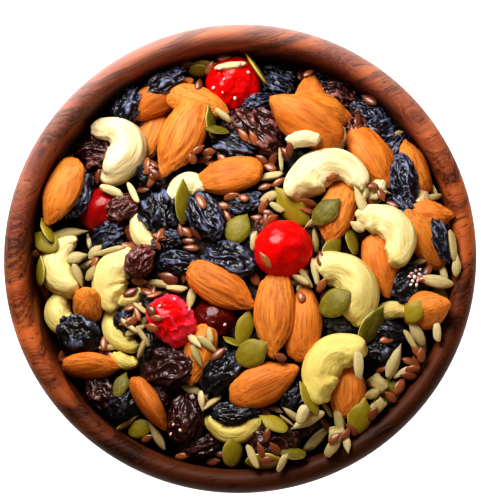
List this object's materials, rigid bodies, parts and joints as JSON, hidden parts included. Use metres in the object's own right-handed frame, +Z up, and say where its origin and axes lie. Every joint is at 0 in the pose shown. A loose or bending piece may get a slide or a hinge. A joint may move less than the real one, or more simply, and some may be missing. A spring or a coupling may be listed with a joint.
{
  "type": "bowl of trail mix",
  "caption": "Round turned wooden bowl with a rounded lip, heaped with a trail mix of almonds, cashews, raisins, red cherries, pumpkin seeds, sunflower kernels and flax seeds.",
  "frame": {"origin": "centre of the bowl's flat foot, on the surface that the bowl stands on", "axes": "+Z up along the bowl's axis; +Y towards the top of the picture and +X to its right, which only the pieces of food show"},
  "size_m": [0.152, 0.152, 0.0747],
  "materials": {
    "wood": "oiled, satin",
    "mixed_food": "food: satin nuts, seeds and wrinkled fruit",
    "cherry": "food: sugar-glazed fruit, glossy"
  },
  "bodies": {
    "root": {"bowl": "wood", "trail_mix": "mixed_food", "cherry_back": "cherry", "cherry_centre": "cherry", "cherry_front": "cherry"}
  },
  "joints": []
}
